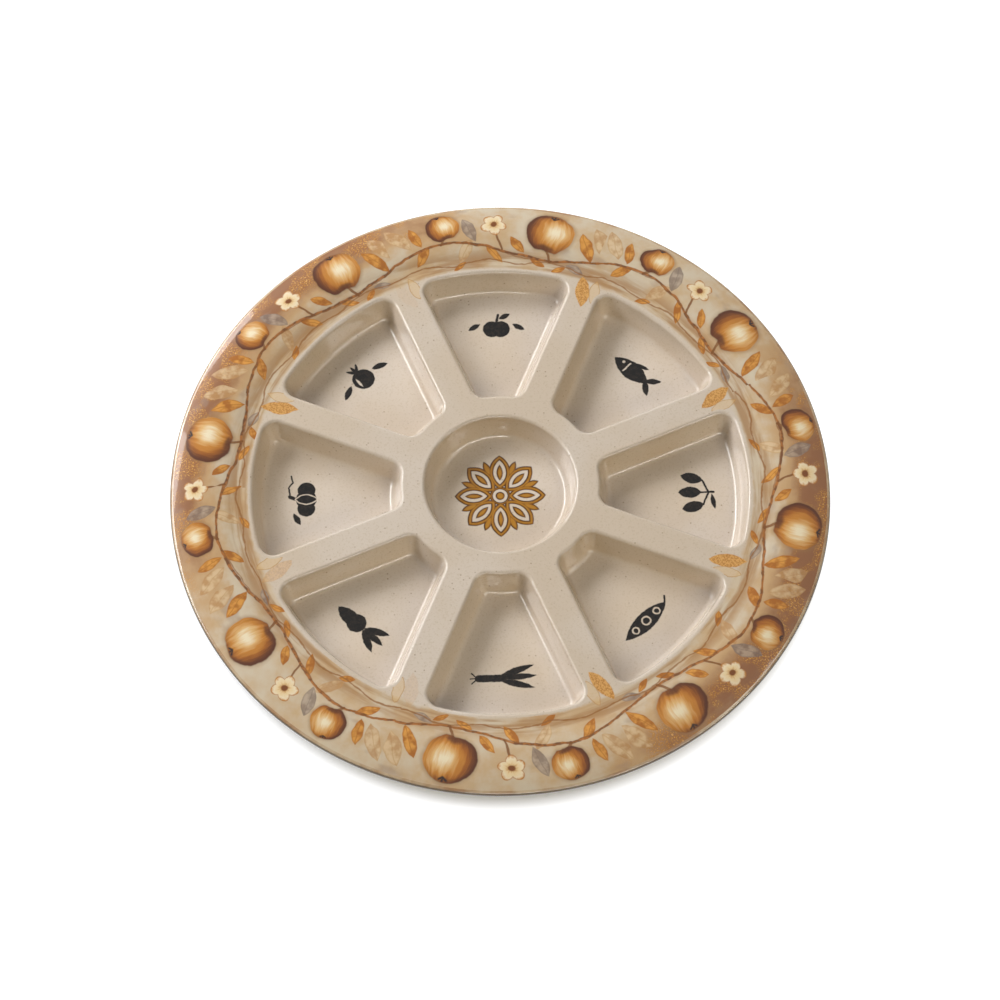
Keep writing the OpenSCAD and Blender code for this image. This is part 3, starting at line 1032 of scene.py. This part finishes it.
def make_floor():
    """White floor: it glows towards the camera and keeps a thin shadow by the plate."""
    data = bpy.data.meshes.new("floor")
    corners = [(x * FLOOR_HALF, y * FLOOR_HALF, 0) for x, y in ((-1, -1), (1, -1), (1, 1), (-1, 1))]
    data.from_pydata(corners, [], [(0, 1, 2, 3)])
    floor = bpy.data.objects.new("floor", data)
    bpy.context.scene.collection.objects.link(floor)
    s = Finish("white_floor")
    grain = s.noise(60.0, 2.0)
    base = s.mix(grain.soft(0.3, 0.7) * 0.2, colour("#edf2f9"), colour("#e9eff7"))
    matt = s.node("ShaderNodeBsdfDiffuse", {}, {"Color": base})
    glow = s.node("ShaderNodeEmission", {}, {"Color": (1, 1, 1, 1), "Strength": FLOOR_GLOW})
    rays = s.node("ShaderNodeLightPath")
    seen = Number(s, rays.outputs["Is Camera Ray"])
    seen = seen.most(Number(s, rays.outputs["Is Glossy Ray"]))
    seen = seen.most(Number(s, rays.outputs["Is Transmission Ray"]))
    share = seen * (s.radius().soft(SHADOW_R, CLEAR_R) * 0.90 + 0.10)
    lit = s.node("ShaderNodeMixShader", {}, {0: share, 1: matt.outputs[0], 2: glow.outputs[0]})
    s.node("ShaderNodeOutputMaterial", {}, {"Surface": lit.outputs[0]})
    data.materials.append(s.material)


def make_world():
    """Faint warm light from all round, and plain white where the camera or gloss sees it."""
    world = bpy.data.worlds.new("studio")
    bpy.context.scene.world = world
    world.use_nodes = True
    tree = world.node_tree
    tree.nodes.clear()
    rays = tree.nodes.new("ShaderNodeLightPath")
    seen = rays.outputs["Is Camera Ray"]
    for ray in ("Is Glossy Ray", "Is Transmission Ray"):
        either = tree.nodes.new("ShaderNodeMath")
        either.operation = "MAXIMUM"
        tree.links.new(seen, either.inputs[0])
        tree.links.new(rays.outputs[ray], either.inputs[1])
        seen = either.outputs[0]
    both = tree.nodes.new("ShaderNodeMixShader")
    tree.links.new(seen, both.inputs[0])
    for slot, tint, strength in ((1, (1.0, 0.90, 0.74, 1), 0.05), (2, (1.0, 1.0, 1.0, 1), 1.0)):
        sky = tree.nodes.new("ShaderNodeBackground")
        sky.inputs["Color"].default_value = tint
        sky.inputs["Strength"].default_value = strength
        tree.links.new(sky.outputs[0], both.inputs[slot])
    out = tree.nodes.new("ShaderNodeOutputWorld")
    tree.links.new(both.outputs[0], out.inputs["Surface"])


def make_lamp(name, around, above, width, height, power, tint, lit, mirrored):
    """Soft rectangular lamp that faces the plate; see LAMPS for what each value says."""
    light = bpy.data.lights.new(name, "AREA")
    light.shape = "RECTANGLE"
    light.size = width
    light.size_y = height
    light.energy = power
    light.color = tint
    lamp = bpy.data.objects.new(name, light)
    bpy.context.scene.collection.objects.link(lamp)
    around, above = math.radians(around), math.radians(above)
    towards = Vector((math.cos(around) * math.cos(above), math.sin(around) * math.cos(above),
                      math.sin(above)))
    lamp.location = towards * LAMP_AWAY
    lamp.rotation_euler = towards.to_track_quat("Z", "Y").to_euler()
    lamp.visible_diffuse = lit
    lamp.visible_glossy = mirrored


# Putting the plate together

bpy.context.scene.view_settings.view_transform = "Standard"
make_camera()
body = moulding()
foil = face_foil()
body.data.materials.append(body_finish())
foil.data.materials.append(foil_finish())
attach(body, "root")
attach(foil, "root")
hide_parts("plate_body")
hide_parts("face_print")

finishes = {"center_print": rosette_finish()}
for number in range(WELLS):
    finishes["well_print_%d" % (number + 1)] = picture_finish(number)
for name, finish in finishes.items():
    nodes[name].data.materials.clear()
    nodes[name].data.materials.append(finish)

make_floor()
make_world()
for values in LAMPS:
    make_lamp(*values)
